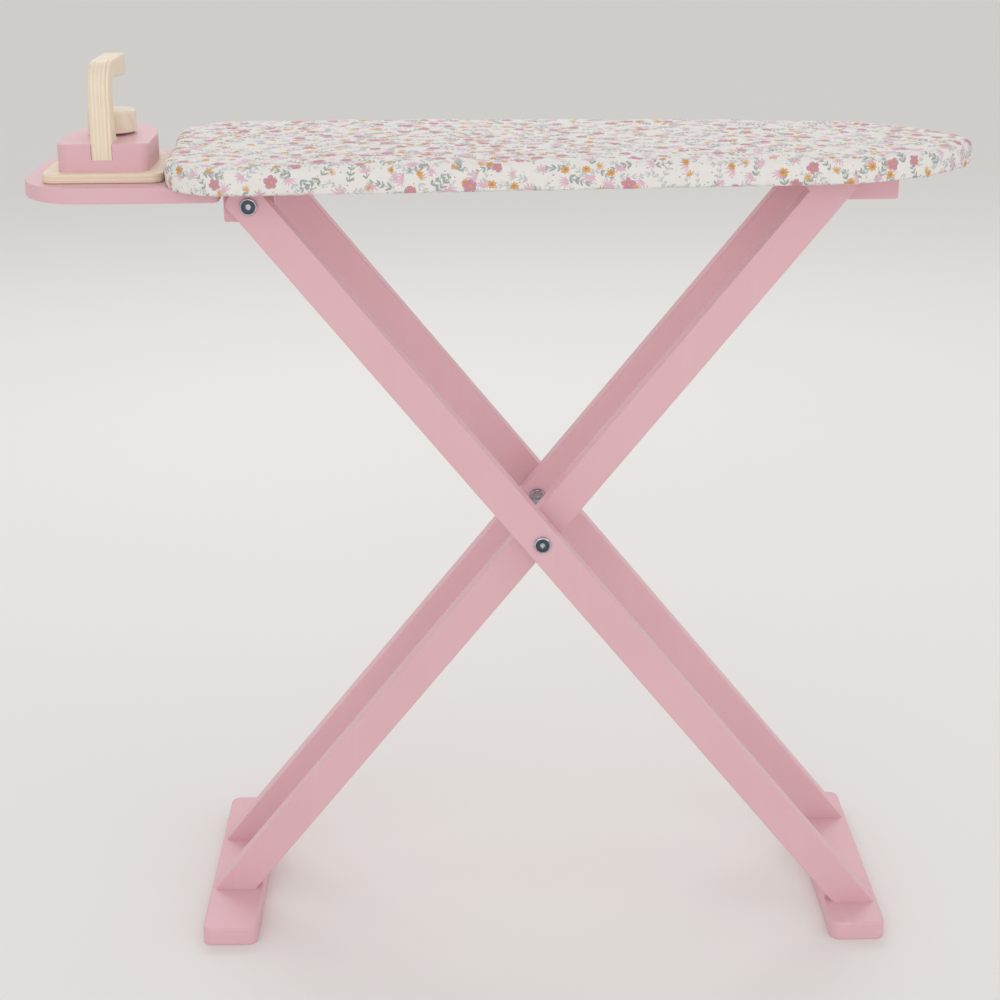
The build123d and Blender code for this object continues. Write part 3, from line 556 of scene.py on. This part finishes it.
def printedCotton(name):
    material, tree, shader, _ = newMaterial(name, roughness=0.85, Sheen_Weight=0.12,
                                            Specular_IOR_Level=0.3)
    uvNode = tree.nodes.new("ShaderNodeUVMap")
    uvNode.uv_map = "cutCloth"
    cut = vectorCalc(tree, "SCALE", uvNode.outputs[0], scale=1000.0)  # millimetres of flat cloth
    tones = {k: colour(*v) for k, v in printColours.items()}
    tone = tones["cloth"]

    def plant(plot, shift, turn, scatter):
        return useGroup(tree, plotGroup, Place=cut, Plot=plot, Shift=(shift[0], shift[1], 0.5),
                        Turn=math.radians(turn), Scatter=scatter)

    def lay(mask, ink, strength=0.92):
        return blendColour(tree, calc(tree, "MULTIPLY", mask, strength), tone, ink)

    def picked(mask, chance):
        # Only in some of the plots
        return calc(tree, "MULTIPLY", mask, calc(tree, "LESS_THAN", spot["Pick"], chance))

    # Dots first, then leaves, buds and flowers over them
    for plot, shift, turn, ink in (
            (7.5, (0, 0), 12, "leaf"),
            (9.5, (3, 5), 37, "amber"),
            (8.8, (5, 1), 61, "rose")):
        spot = plant(plot, shift, turn, plot * 0.3)
        reach = vectorCalc(tree, "LENGTH", joinVector(tree, spot["X"], spot["Y"]))
        tone = lay(picked(ramp(tree, reach, 0.42, 0.6, 1.0, 0.0), 0.5), tones[ink])
    for plot, shift, turn, length, leaf, ink, chance in (
            (17.0, (4, 9), 66, 13.0, 4.2, "leafPale", 0.8),
            (21.0, (8, 1), 8, 17.0, 4.7, "leafPale", 0.6),
            (22.0, (2, 3), 24, 17.6, 5.0, "leaf", 0.7),
            (19.0, (11, 6), 49, 13.2, 4.4, "leaf", 0.45)):
        spot = plant(plot, shift, turn, 1.4)
        sprig = useGroup(tree, sprigGroup, X=spot["X"], Y=spot["Y"], Length=length,
                         Leaf=calc(tree, "MULTIPLY", spot["Size"], leaf))
        tone = lay(picked(sprig["Body"], chance), tones[ink])
    for plot, shift, turn, height, ink, chance in ((16.0, (7, 2), 33, 7.6, "blush", 0.7),
                                                   (19.0, (3, 8), 14, 8.4, "blush", 0.4),
                                                   (21.0, (1, 12), 75, 5.4, "amber", 0.5)):
        spot = plant(plot, shift, turn, 2.5)
        bud = useGroup(tree, budGroup, X=spot["X"], Y=spot["Y"],
                       Height=calc(tree, "MULTIPLY", spot["Size"], height))
        tone = lay(picked(bud["Body"], chance), tones[ink])
    for plot, shift, turn, radius, lobes, waist, ink, line, heart, chance in (
            (17.5, (9, 4), 5, 3.2, 8.0, 0.42, "amber", "amberLine", "amberLine", 0.42),
            (20.0, (3, 14), 57, 4.8, 5.0, 0.62, "rose", "roseLine", "amber", 0.36)):
        spot = plant(plot, shift, turn, 3.0)
        flower = useGroup(tree, blossomGroup, X=spot["X"], Y=spot["Y"],
                          Radius=calc(tree, "MULTIPLY", spot["Size"], radius), Lobes=lobes, Waist=waist)
        veins = calc(tree, "MULTIPLY", flower["Veins"], flower["Body"])
        tone = lay(picked(flower["Body"], chance), tones[ink], 0.95)
        tone = lay(picked(veins, chance), tones[line], 0.8)
        tone = lay(picked(flower["Heart"], chance), tones[heart], 0.9)
    weave = useGroup(tree, weaveGroup, Place=cut, Pitch=0.45)
    faded = blendColour(tree, ramp(tree, weave["Slub"], 0.4, 0.8, 0.0, 0.10), tone, tones["cloth"])
    wire(tree, faded, shader.inputs["Base Color"])
    addBump(tree, shader, calc(tree, "MULTIPLY_ADD", weave["Slub"], 0.8, weave["Height"]), 0.00012, 0.6)
    return material


def plainCloth(name, tone, pitch):
    material, tree, shader, place = newMaterial(name, roughness=0.9, Sheen_Weight=0.15)
    spots = vectorCalc(tree, "SCALE", place, scale=1000.0)
    weave = useGroup(tree, weaveGroup, Place=spots, Pitch=pitch)
    base = blendColour(tree, weave["Slub"], colour(*tone), colour(*[v * 0.92 for v in tone]))
    wire(tree, base, shader.inputs["Base Color"])
    addBump(tree, shader, weave["Height"], 0.0002, 0.7)
    return material


print("materials ready")


# Finishes on the wooden and metal pieces

def finishNodes(names, material):
    for name in names:
        mesh = nodes[name].data
        mesh.materials.clear()
        mesh.materials.append(material)


legFibres, crossFibres, longFibres = (1.0, 1.0, 0.12), (1.0, 0.12, 1.0), (0.12, 1.0, 1.0)
finishNodes(["outer_leg_left", "outer_leg_right", "inner_leg_left", "inner_leg_right",
             "heel_bracket_left", "heel_bracket_right"], paintedWood("pinkPaintLegs", legFibres))
finishNodes(["outer_foot_bar", "inner_foot_bar", "top_rail"],
            paintedWood("pinkPaintBars", crossFibres))
finishNodes(["iron_rest_plate", "board_panel", "iron_body"],
            paintedWood("pinkPaintBoards", longFibres))
finishNodes(["catch_block_left", "catch_block_right", "catch_arm_left", "catch_arm_right"],
            paintedWood("pinkPaintHooks", longFibres, highlightShare=0.0))  # no painted arris highlight here, as the hook is painted over its glued joint

handleLow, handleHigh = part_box("iron_handle")
soleLow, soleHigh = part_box("iron_sole")
finishNodes(["iron_handle"], layeredPly("plyHandle", 0, handleLow[0], handleHigh[0] - handleLow[0], 11,
                                        (1.0, 0.4, 0.12)))
finishNodes(["iron_sole"], layeredPly("plySole", 2, soleLow[2], soleHigh[2] - soleLow[2], 5,
                                      longFibres))
knobLow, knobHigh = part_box("iron_knob")
knobMiddle = [(low + high) / 2 for low, high in zip(knobLow, knobHigh)]
finishNodes(["iron_knob"], turnedWood("turnedKnob", knobMiddle))

boltHeads = []
for name in ("heel_bolt_right", "cross_bolt_right"):
    low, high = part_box(name)
    boltHeads.append([(a + b) / 2 for a, b in zip(low, high)])
headRadius = 0.0067
finishNodes(["heel_bolt_left", "heel_bolt_right", "cross_bolt_left", "cross_bolt_right"],
            boltSteel("nickelBolt", boltHeads, (1.0, 0.0, 1.0), headRadius))
finishNodes(["heel_cap_nut_left", "heel_cap_nut_right", "cross_cap_nut_left", "cross_cap_nut_right"],
            brightSteel("nickelNut", (176, 174, 178), 0.14))
finishNodes(["rest_plate_screws", "bracket_screws", "hook_screws", "outer_foot_screws",
             "inner_foot_screws", "top_rail_screws", "sole_screws", "handle_screws", "knob_screw",
             "heel_washer_left", "heel_washer_right"],
            brightSteel("zincScrew", (176, 178, 180), 0.3))
finishNodes(["cross_spacer_left", "cross_spacer_right", "knob_washer"],
            plainPlastic("spacerNylon", (226, 222, 216)))
print("nodes finished")


# The board's outline, which pad, cover and elastic follow

panelLow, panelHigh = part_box("board_panel")
board = {
    "heel": panelLow[0],
    "nose": panelHigh[0],
    "halfWidth": panelHigh[1],
    "heelCorner": 0.047,
    "taper": 2.7,  # degrees
    "shoulder": 0.482,  # from the heel
    "noseRadius": 0.019,
    "underside": panelLow[2],
    "top": panelHigh[2],
}


def boardOutline(grow, step):
    # Points round the board at even steps, with the direction that faces out at each
    turn = math.radians(board["taper"])
    normal = np.array((math.sin(turn), math.cos(turn)))
    corner = np.array((board["heel"] + board["heelCorner"], board["halfWidth"] - board["heelCorner"]))
    sideStart = corner + normal * board["heelCorner"]
    run = (board["heel"] + board["shoulder"] - sideStart[0]) / math.cos(turn)
    shoulder = sideStart + np.array((math.cos(turn), -math.sin(turn))) * run
    tip = np.array((board["nose"] - board["noseRadius"], 0.0))
    reach = shoulder - tip
    sideRadius = (reach @ reach - board["noseRadius"] ** 2) / (2 * (reach @ normal - board["noseRadius"]))
    sideCentre = shoulder - normal * sideRadius
    tipAngle = math.atan2(tip[1] - sideCentre[1], tip[0] - sideCentre[0])
    sideAngle = math.pi / 2 - turn
    heelEdge = board["heel"] - grow
    pieces = [("line", np.array((heelEdge, 0.0)), np.array((heelEdge, corner[1])), None),
              ("arc", corner, board["heelCorner"] + grow, (math.pi, sideAngle)),
              ("line", sideStart + normal * grow, shoulder + normal * grow, None),
              ("arc", sideCentre, sideRadius + grow, (sideAngle, tipAngle)),
              ("arc", tip, board["noseRadius"] + grow, (tipAngle, 0.0))]
    points = []
    for kind, first, second, angles in pieces:
        if kind == "line":
            length = np.linalg.norm(second - first)
            count = max(2, round(length / step))
            way = (second - first) / length
            for i in range(count):
                points.append((*(first + way * length * i / count), -way[1], way[0]))
        else:
            length = abs(angles[1] - angles[0]) * second
            count = max(2, round(length / step))
            for i in range(count):
                angle = angles[0] + (angles[1] - angles[0]) * i / count
                points.append((*(first + second * np.array((math.cos(angle), math.sin(angle)))),
                               math.cos(angle), math.sin(angle)))
    points.append((board["nose"] + grow, 0.0, 1.0, 0.0))
    upper = np.array(points)
    lower = upper[1:-1][::-1] * (1, -1, 1, -1)
    return np.concatenate([upper, lower])


def deselectAll():
    if bpy.context.object and bpy.context.object.mode != "OBJECT":
        bpy.ops.object.mode_set(mode="OBJECT")
    bpy.ops.object.select_all(action="DESELECT")


def makeActive(piece):
    deselectAll()
    piece.select_set(True)
    bpy.context.view_layer.objects.active = piece


def outlineSlab(name, grow, step, low, high):
    # A closed slab of the board's shape: a circle pulled onto the outline, filled and drawn upwards
    outline = boardOutline(grow, step)
    deselectAll()
    bpy.ops.mesh.primitive_circle_add(vertices=len(outline), radius=0.1, fill_type="NGON")
    slab = bpy.context.object
    slab.name = slab.data.name = name
    for vertex, point in zip(slab.data.vertices, outline):
        vertex.co = (point[0], point[1], low)
    bpy.ops.object.mode_set(mode="EDIT")
    bpy.ops.mesh.select_all(action="SELECT")
    bpy.ops.mesh.extrude_region_move(TRANSFORM_OT_translate={"value": (0, 0, high - low)})
    bpy.ops.mesh.select_all(action="SELECT")
    bpy.ops.mesh.normals_make_consistent(inside=False)
    bpy.ops.object.mode_set(mode="OBJECT")
    return slab


def applyModifier(piece, kind, **settings):
    makeActive(piece)
    modifier = piece.modifiers.new(kind.lower(), kind)
    for name, value in settings.items():
        setattr(modifier, name, value)
    bpy.ops.object.modifier_apply(modifier=modifier.name)


def coordinates(mesh):
    flat = np.empty(len(mesh.vertices) * 3)
    mesh.vertices.foreach_get("co", flat)
    return flat.reshape(-1, 3)


def setCoordinates(mesh, points):
    mesh.vertices.foreach_set("co", points.ravel())
    mesh.update()


def nearestOnOutline(points, outline):
    # For each point: the nearest outline point's number and the signed distance outside it
    index = np.empty(len(points), dtype=int)
    for start in range(0, len(points), 4000):
        part = points[start:start + 4000, None, :2] - outline[None, :, :2]
        index[start:start + 4000] = np.argmin((part ** 2).sum(axis=2), axis=1)
    gap = points[:, :2] - outline[index, :2]
    return index, (gap * outline[index, 2:]).sum(axis=1)


coverForm = {
    "grow": 0.0013,
    "top": 0.6376,
    "low": 0.6172,
    "edgeRadius": 0.0058,
    "hemRadius": 0.0024,
    "voxel": 0.0026,
    "lip": 0.012,
    "thickness": 0.0008,
    "swell": 0.0012,
    "gatherDepth": 0.0013,
    "gatherPitch": 0.0085,
    "scallop": 0.027,
    "scallopDepth": 0.0034,
    "frillDepth": 0.0022,
    "tuck": 0.0018,  # drawn up at the heel's corners
    "wave": 0.0007,
    "slack": 0.0058,  # loose cloth at the heel's far corner
}

# How far pad and cover stand above their plain level along the board
crownPlaces = (-0.26, -0.16, -0.09, 0.0, 0.15, 0.24, 0.34, 0.37)
crownLevels = (0.0, 0.0003, 0.0006, -0.0003, -0.0005, -0.0010, -0.0018, -0.0022)


def crown(points, low, top):
    share = np.clip((points[:, 2] - low) / (top - low), 0, 1)
    return share * np.interp(points[:, 0], crownPlaces, crownLevels)


def cutCover(cover, outline):
    # Opens the underside inside the hem, and where the rest plate passes
    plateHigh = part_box("iron_rest_plate")[1]
    mesh = cover.data
    centres = np.array([polygon.center for polygon in mesh.polygons])
    _, outside = nearestOnOutline(centres, outline)
    across = np.abs(centres[:, 1])
    below = centres[:, 2] < coverForm["low"] + 0.0025
    inner = below & (outside < -coverForm["lip"])
    plate = below & (centres[:, 0] < plateHigh[0] + 0.002) & (across < plateHigh[1] + 0.0015)
    doomed = inner | plate
    makeActive(cover)
    bpy.ops.object.mode_set(mode="EDIT")
    bpy.ops.mesh.select_all(action="DESELECT")
    bpy.ops.object.mode_set(mode="OBJECT")
    for polygon in mesh.polygons:
        polygon.select = bool(doomed[polygon.index])
    bpy.ops.object.mode_set(mode="EDIT")
    bpy.ops.mesh.select_mode(type="FACE")
    bpy.ops.mesh.delete(type="FACE")
    bpy.ops.mesh.select_mode(type="VERT")
    bpy.ops.object.mode_set(mode="OBJECT")


clothForm = {
    "quality": 5,
    "mass": 0.2,
    "tension_stiffness": 25,
    "compression_stiffness": 25,
    "bending_stiffness": 1.5,
    "use_pressure": True,
    "uniform_pressure_force": 1.2,
    "shrink_min": -0.012,
}
clothFrames = 16


def swellCover(cover):
    # A short cloth simulation: the hem is held and the pad presses the cloth out a little
    before = coordinates(cover.data).copy()
    out = np.array([vertex.normal for vertex in cover.data.vertices])
    held = cover.vertex_groups.new(name="hem")
    low = [vertex.index for vertex in cover.data.vertices if vertex.co.z < board["underside"] + 0.001]
    held.add(low, 1.0, "REPLACE")
    makeActive(cover)
    cloth = cover.modifiers.new("cloth", "CLOTH")
    for name, value in clothForm.items():
        setattr(cloth.settings, name, value)
    cloth.settings.vertex_group_mass = "hem"
    cloth.settings.effector_weights.gravity = 0
    cloth.point_cache.frame_start = 1
    cloth.point_cache.frame_end = clothFrames
    for number in range(1, clothFrames + 1):
        bpy.context.scene.frame_set(number)
    bpy.ops.object.modifier_apply(modifier="cloth")
    bpy.context.scene.frame_set(1)
    moved = coordinates(cover.data) - before
    moved -= out * np.minimum(0, (moved * out).sum(axis=1, keepdims=True))  # never into the pad
    length = np.linalg.norm(moved, axis=1, keepdims=True)
    moved *= np.minimum(1.0, coverForm["swell"] / np.maximum(length, 1e-9))
    setCoordinates(cover.data, before + moved)
    print("cloth moved by", round(float(length.max()) * 1000, 2), "mm at most")


def gatherHem(cover, outline, around):
    # Small pleats that deepen towards the hem, more in the corners, and a slack scalloped edge there
    points = coordinates(cover.data)
    index, outside = nearestOnOutline(points, outline)
    normals = outline[index, 2:]
    run = around[index]
    down = np.clip((coverForm["top"] - 0.006 - points[:, 2]) / 0.014, 0, 1)
    bend = np.abs(normals[:, 0])
    corner = np.clip((bend - 0.12) / 0.5, 0, 1)
    nearHeel = np.clip((-0.165 - points[:, 0]) / 0.05, 0, 1)
    ripple = np.array([noise.noise(Vector((r * 120, 0.3, 7.1))) for r in run])
    pleat = np.sin(run * 2 * math.pi / coverForm["gatherPitch"] + 3.0 * ripple)
    depth = coverForm["gatherDepth"] * (0.25 + 0.75 * np.maximum(corner, nearHeel)) * down ** 1.5
    wave = np.array([noise.noise(Vector((r * 26, 1.7, 3.9))) for r in run])
    shift = depth * (0.5 * pleat + 0.7 * ripple) + coverForm["wave"] * wave * down
    # Loose cloth at the far corner of the heel, above the iron's sole
    far = np.interp(points[:, 1], (-0.04, 0.0, 0.035, 0.07, 0.095, 0.113), (0, 0.35, 0.9, 1, 0.9, 0.2))
    high = np.clip((points[:, 2] - 0.6268) / 0.005, 0, 1)
    atHeel = np.clip((-0.195 - points[:, 0]) / 0.05, 0, 1)
    points[:, 0] -= coverForm["slack"] * far * atHeel ** 1.5 * high * high * (3 - 2 * high)
    points[:, :2] += normals * shift[:, None]
    # The hem's lower edge: uneven frills, and scallops at the heel and nose but not over the rest plate
    edge = np.clip((0.6240 - points[:, 2]) / 0.0045, 0, 1) * np.clip((outside + 0.0035) / 0.0025, 0, 1)
    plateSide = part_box("iron_rest_plate")[1][1]
    beside = np.clip((np.abs(points[:, 1]) - plateSide) / 0.004, 0, 1)
    edge *= np.where(points[:, 0] < board["heel"] + 0.004, beside, 1.0)
    frill = np.array([noise.noise(Vector((r * 62, 4.2, 0.4))) for r in run])
    heelShare = np.interp(points[:, 0], (-0.19, -0.10, 0.2, 0.28), (1.0, 0.1, 0.1, 0.45))
    scallop = np.abs(np.sin(run * math.pi / coverForm["scallop"] + 1.4 * ripple)) - 0.5
    tucked = np.interp(points[:, 0], (-0.238, -0.195), (coverForm["tuck"], 0.0))
    hang = 0.0003 + coverForm["frillDepth"] * frill + coverForm["scallopDepth"] * heelShare * scallop
    points[:, 2] += edge * (tucked - hang)
    # Cloth drawn up past the board's lower edge stays outside its side face
    short = -0.0002 - outside - shift
    raised = (edge > 0) & (points[:, 2] > board["underside"] - 0.0010) & (short > 0)
    points[:, :2] += normals * np.where(raised, short, 0)[:, None]
    points[:, 2] += crown(points, board["top"], coverForm["top"])
    setCoordinates(cover.data, points)


def layCutCloth(cover):
    # The flat pattern: the top as it lies, and the sides folded out from the edge
    points = coordinates(cover.data)
    inner = boardOutline(coverForm["grow"] - coverForm["edgeRadius"], 0.002)
    index, outside = nearestOnOutline(points, inner)
    radius, level = coverForm["edgeRadius"], coverForm["top"] - coverForm["edgeRadius"]
    bend = np.arctan2(np.maximum(outside, 0), np.maximum(points[:, 2] - level, 1e-6))
    spread = np.where(points[:, 2] > level, radius * bend, radius * math.pi / 2 + (level - points[:, 2]))
    under = (points[:, 2] < board["underside"]) & (outside < radius * 0.8)
    spread = np.where(under, radius * math.pi / 2 + level - coverForm["low"] + (radius - outside), spread)
    flat = np.where((outside > 0)[:, None] | under[:, None],
                    inner[index, :2] + inner[index, 2:] * spread[:, None], points[:, :2])
    layer = cover.data.uv_layers.new(name="cutCloth")
    corners = np.empty(len(cover.data.loops), dtype=int)
    cover.data.loops.foreach_get("vertex_index", corners)
    layer.data.foreach_set("uv", flat[corners].ravel())


def makeCover():
    outline = boardOutline(coverForm["grow"], 0.002)
    steps = np.linalg.norm(np.diff(outline[:, :2], axis=0), axis=1)
    around = np.concatenate([[0], np.cumsum(steps)])
    cover = outlineSlab("printed_cover", coverForm["grow"], 0.004, coverForm["low"], coverForm["top"])
    makeActive(cover)
    bpy.ops.object.mode_set(mode="EDIT")
    bpy.ops.mesh.select_all(action="DESELECT")
    bpy.ops.object.mode_set(mode="OBJECT")
    for edge in cover.data.edges:
        ends = [cover.data.vertices[i].co.z for i in edge.vertices]
        edge.select = min(ends) > coverForm["top"] - 0.0001
    bpy.ops.object.mode_set(mode="EDIT")
    bpy.ops.mesh.select_mode(type="EDGE")
    bpy.ops.mesh.bevel(offset=coverForm["edgeRadius"], segments=5, profile=0.5)
    bpy.ops.mesh.select_all(action="DESELECT")
    bpy.ops.object.mode_set(mode="OBJECT")
    for edge in cover.data.edges:
        ends = [cover.data.vertices[i].co.z for i in edge.vertices]
        edge.select = max(ends) < coverForm["low"] + 0.0001
    bpy.ops.object.mode_set(mode="EDIT")
    bpy.ops.mesh.bevel(offset=coverForm["hemRadius"], segments=3, profile=0.5)
    bpy.ops.object.mode_set(mode="OBJECT")
    applyModifier(cover, "REMESH", mode="VOXEL", voxel_size=coverForm["voxel"], use_smooth_shade=True)
    applyModifier(cover, "SMOOTH", factor=0.5, iterations=3)
    cutCover(cover, outline)
    swellCover(cover)
    gatherHem(cover, outline, around)
    layCutCloth(cover)
    applyModifier(cover, "SOLIDIFY", thickness=coverForm["thickness"], offset=-1)
    bpy.ops.object.shade_smooth()
    cover.data.materials.clear()
    cover.data.materials.append(printedCotton("ditsyCotton"))
    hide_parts("fabric_cover")
    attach(cover, "board")
    return cover


padForm = {"low": 0.6308, "top": 0.6362, "grow": -0.0005, "voxel": 0.0025, "rough": 0.00015}


def makePad():
    pad = outlineSlab("foam_pad_felt", padForm["grow"], 0.006, padForm["low"], padForm["top"])
    makeActive(pad)
    applyModifier(pad, "REMESH", mode="VOXEL", voxel_size=padForm["voxel"], use_smooth_shade=True)
    applyModifier(pad, "SMOOTH", factor=0.6, iterations=8)
    points = coordinates(pad.data)
    rough = np.array([noise.noise(Vector(p) * 60) for p in points])
    points[:, 2] += padForm["rough"] * rough * (points[:, 2] > padForm["low"] + 0.001)
    points[:, 2] += crown(points, padForm["low"], padForm["top"])
    setCoordinates(pad.data, points)
    pad.data.materials.append(plainCloth("padFelt", (226, 222, 212), 1.6))
    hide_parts("foam_pad")
    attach(pad, "board")


elasticForm = {"width": 0.005, "thickness": 0.0009, "level": 0.6164, "lip": 0.012, "ripple": 0.00035}


def makeElastic():
    # A circle on the band's inner line, drawn outwards to its width, opened where the rest plate passes
    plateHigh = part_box("iron_rest_plate")[1]
    inner = boardOutline(-elasticForm["lip"], 0.0035)
    outer = inner[:, :2] + inner[:, 2:] * elasticForm["width"]
    deselectAll()
    bpy.ops.mesh.primitive_circle_add(vertices=len(inner), radius=0.1)
    band = bpy.context.object
    band.name = band.data.name = "elastic_band_ribbed"
    bpy.ops.object.mode_set(mode="EDIT")
    bpy.ops.mesh.select_all(action="SELECT")
    bpy.ops.mesh.extrude_region_move()
    bpy.ops.mesh.select_all(action="DESELECT")
    bpy.ops.object.mode_set(mode="OBJECT")
    count = len(inner)
    for vertex in band.data.vertices:
        number = vertex.index % count
        line = inner if vertex.index < count else outer
        level = elasticForm["level"] + elasticForm["ripple"] * math.sin(number * 1.9)
        vertex.co = (line[number][0], line[number][1], level)
        inPlate = vertex.co.x < plateHigh[0] + 0.004 and abs(vertex.co.y) < plateHigh[1] + 0.004
        vertex.select = bool(inPlate)
    bpy.ops.object.mode_set(mode="EDIT")
    bpy.ops.mesh.delete(type="VERT")
    bpy.ops.mesh.select_all(action="SELECT")
    bpy.ops.mesh.normals_make_consistent(inside=False)
    bpy.ops.object.mode_set(mode="OBJECT")
    applyModifier(band, "SOLIDIFY", thickness=elasticForm["thickness"], offset=0)
    makeActive(band)
    bpy.ops.object.mode_set(mode="EDIT")
    bpy.ops.mesh.select_all(action="SELECT")
    bpy.ops.mesh.normals_make_consistent(inside=False)
    bpy.ops.object.mode_set(mode="OBJECT")
    applyModifier(band, "BEVEL", width=0.0002, segments=2)
    bpy.ops.object.shade_smooth_by_angle(angle=math.radians(40))
    band.data.materials.append(plainCloth("elasticRib", (238, 234, 228), 0.9))
    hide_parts("hem_elastic")
    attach(band, "board")


makePad()
print("pad made")
makeCover()
print("cover made")
makeElastic()
print("elastic made")


# Floor and light

studio = {
    "floor": (236, 234, 231),
    "world": 0.74,
    "frontPower": 11,
    "lowPower": 18,
    "sidePower": 3,
    "backPower": 14,
}


def addFloor():
    deselectAll()
    bpy.ops.mesh.primitive_plane_add(size=80, location=(0, 0, 0))
    floor = bpy.context.object
    floor.name = "studio_floor"
    material, tree, shader, place = newMaterial("floorPaper", roughness=0.9)
    wire(tree, blendColour(tree, noiseAt(tree, place, 0.8, 2), colour(*studio["floor"]),
                           colour(*[v * 0.99 for v in studio["floor"]])), shader.inputs["Base Color"])
    floor.data.materials.append(material)


def addLamp(name, place, target, size, power):
    lampData = bpy.data.lights.new(name, "AREA")
    lampData.shape = "RECTANGLE"
    lampData.size, lampData.size_y = size
    lampData.energy = power
    lamp = bpy.data.objects.new(name, lampData)
    lamp.location = place
    lamp.rotation_euler = (Vector(target) - Vector(place)).to_track_quat("-Z", "Y").to_euler()
    lamp.visible_camera = False
    bpy.context.scene.collection.objects.link(lamp)


def addWorld():
    world = bpy.data.worlds.new("studioWorld")
    bpy.context.scene.world = world
    world.use_nodes = True
    background = world.node_tree.nodes["Background"]
    background.inputs["Color"].default_value = (1.0, 0.995, 0.99, 1)
    background.inputs["Strength"].default_value = studio["world"]


addFloor()
addLamp("frontSoftbox", (-0.7, -3.0, 1.7), (0, 0, 0.4), (2.4, 1.6), studio["frontPower"])
addLamp("lowSoftbox", (0.6, -4.6, 1.1), (0, 0, 0.5), (3.0, 1.2), studio["lowPower"])
addLamp("sideSoftbox", (1.9, -1.2, 1.3), (0, 0, 0.4), (1.4, 1.4), studio["sidePower"])
addLamp("backSoftbox", (-0.2, 1.9, 1.9), (0, 0, 0.5), (2.6, 1.0), studio["backPower"])
addWorld()
bpy.context.scene.view_settings.view_transform = "Standard"
print("studio ready")
